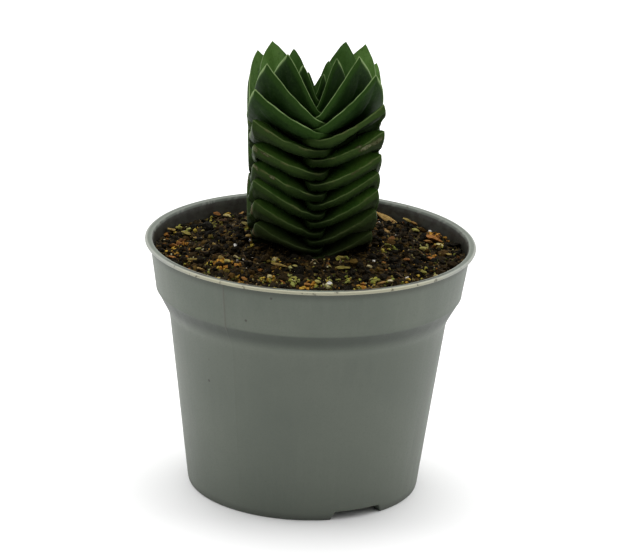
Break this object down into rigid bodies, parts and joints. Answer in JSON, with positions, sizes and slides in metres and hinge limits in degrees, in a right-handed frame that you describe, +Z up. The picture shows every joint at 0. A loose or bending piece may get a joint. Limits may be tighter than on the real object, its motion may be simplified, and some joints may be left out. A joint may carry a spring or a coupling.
{
  "type": "potted succulent",
  "caption": "Square-column succulent with tightly stacked crossed leaf pairs, growing from a mound of dark soil in a round tapered plastic nursery pot.",
  "frame": {"origin": "centre of the pot's foot, on the surface it stands on", "axes": "+Z up along the pot's axis; -Y is the front, towards the viewer; +X is the viewer's right"},
  "size_m": [0.085, 0.085, 0.1153],
  "materials": {
    "leaf_young": "satin",
    "leaf_mature": "satin",
    "stem": "matte",
    "pot": "matte",
    "soil": "matte"
  },
  "bodies": {
    "root": {"leaf_01_front_right": "leaf_young", "leaf_01_back_left": "leaf_young", "leaf_02_front_left": "leaf_young", "leaf_02_back_right": "leaf_young", "leaf_03_front_right": "leaf_young", "leaf_03_back_left": "leaf_young", "leaf_04_front_left": "leaf_young", "leaf_04_back_right": "leaf_young", "leaf_05_front_right": "leaf_young", "leaf_05_back_left": "leaf_young", "leaf_06_front_left": "leaf_young", "leaf_06_back_right": "leaf_young", "leaf_07_front_right": "leaf_young", "leaf_07_back_left": "leaf_young", "leaf_08_front_left": "leaf_young", "leaf_08_back_right": "leaf_young", "leaf_09_front_right": "leaf_mature", "leaf_09_back_left": "leaf_mature", "leaf_10_front_left": "leaf_mature", "leaf_10_back_right": "leaf_mature", "leaf_11_front_right": "leaf_mature", "leaf_11_back_left": "leaf_mature", "leaf_12_front_left": "leaf_mature", "leaf_12_back_right": "leaf_mature", "leaf_13_front_right": "leaf_mature", "leaf_13_back_left": "leaf_mature", "leaf_14_front_left": "leaf_mature", "leaf_14_back_right": "leaf_mature", "leaf_15_front_right": "leaf_mature", "leaf_15_back_left": "leaf_mature", "leaf_16_front_left": "leaf_mature", "leaf_16_back_right": "leaf_mature", "leaf_17_front_right": "leaf_mature", "leaf_17_back_left": "leaf_mature", "leaf_18_front_left": "leaf_mature", "leaf_18_back_right": "leaf_mature", "leaf_19_front_right": "leaf_mature", "leaf_19_back_left": "leaf_mature", "leaf_20_front_left": "leaf_mature", "leaf_20_back_right": "leaf_mature", "leaf_21_front_right": "leaf_mature", "leaf_21_back_left": "leaf_mature", "stem": "stem", "pot": "pot", "soil": "soil"}
  },
  "joints": []
}
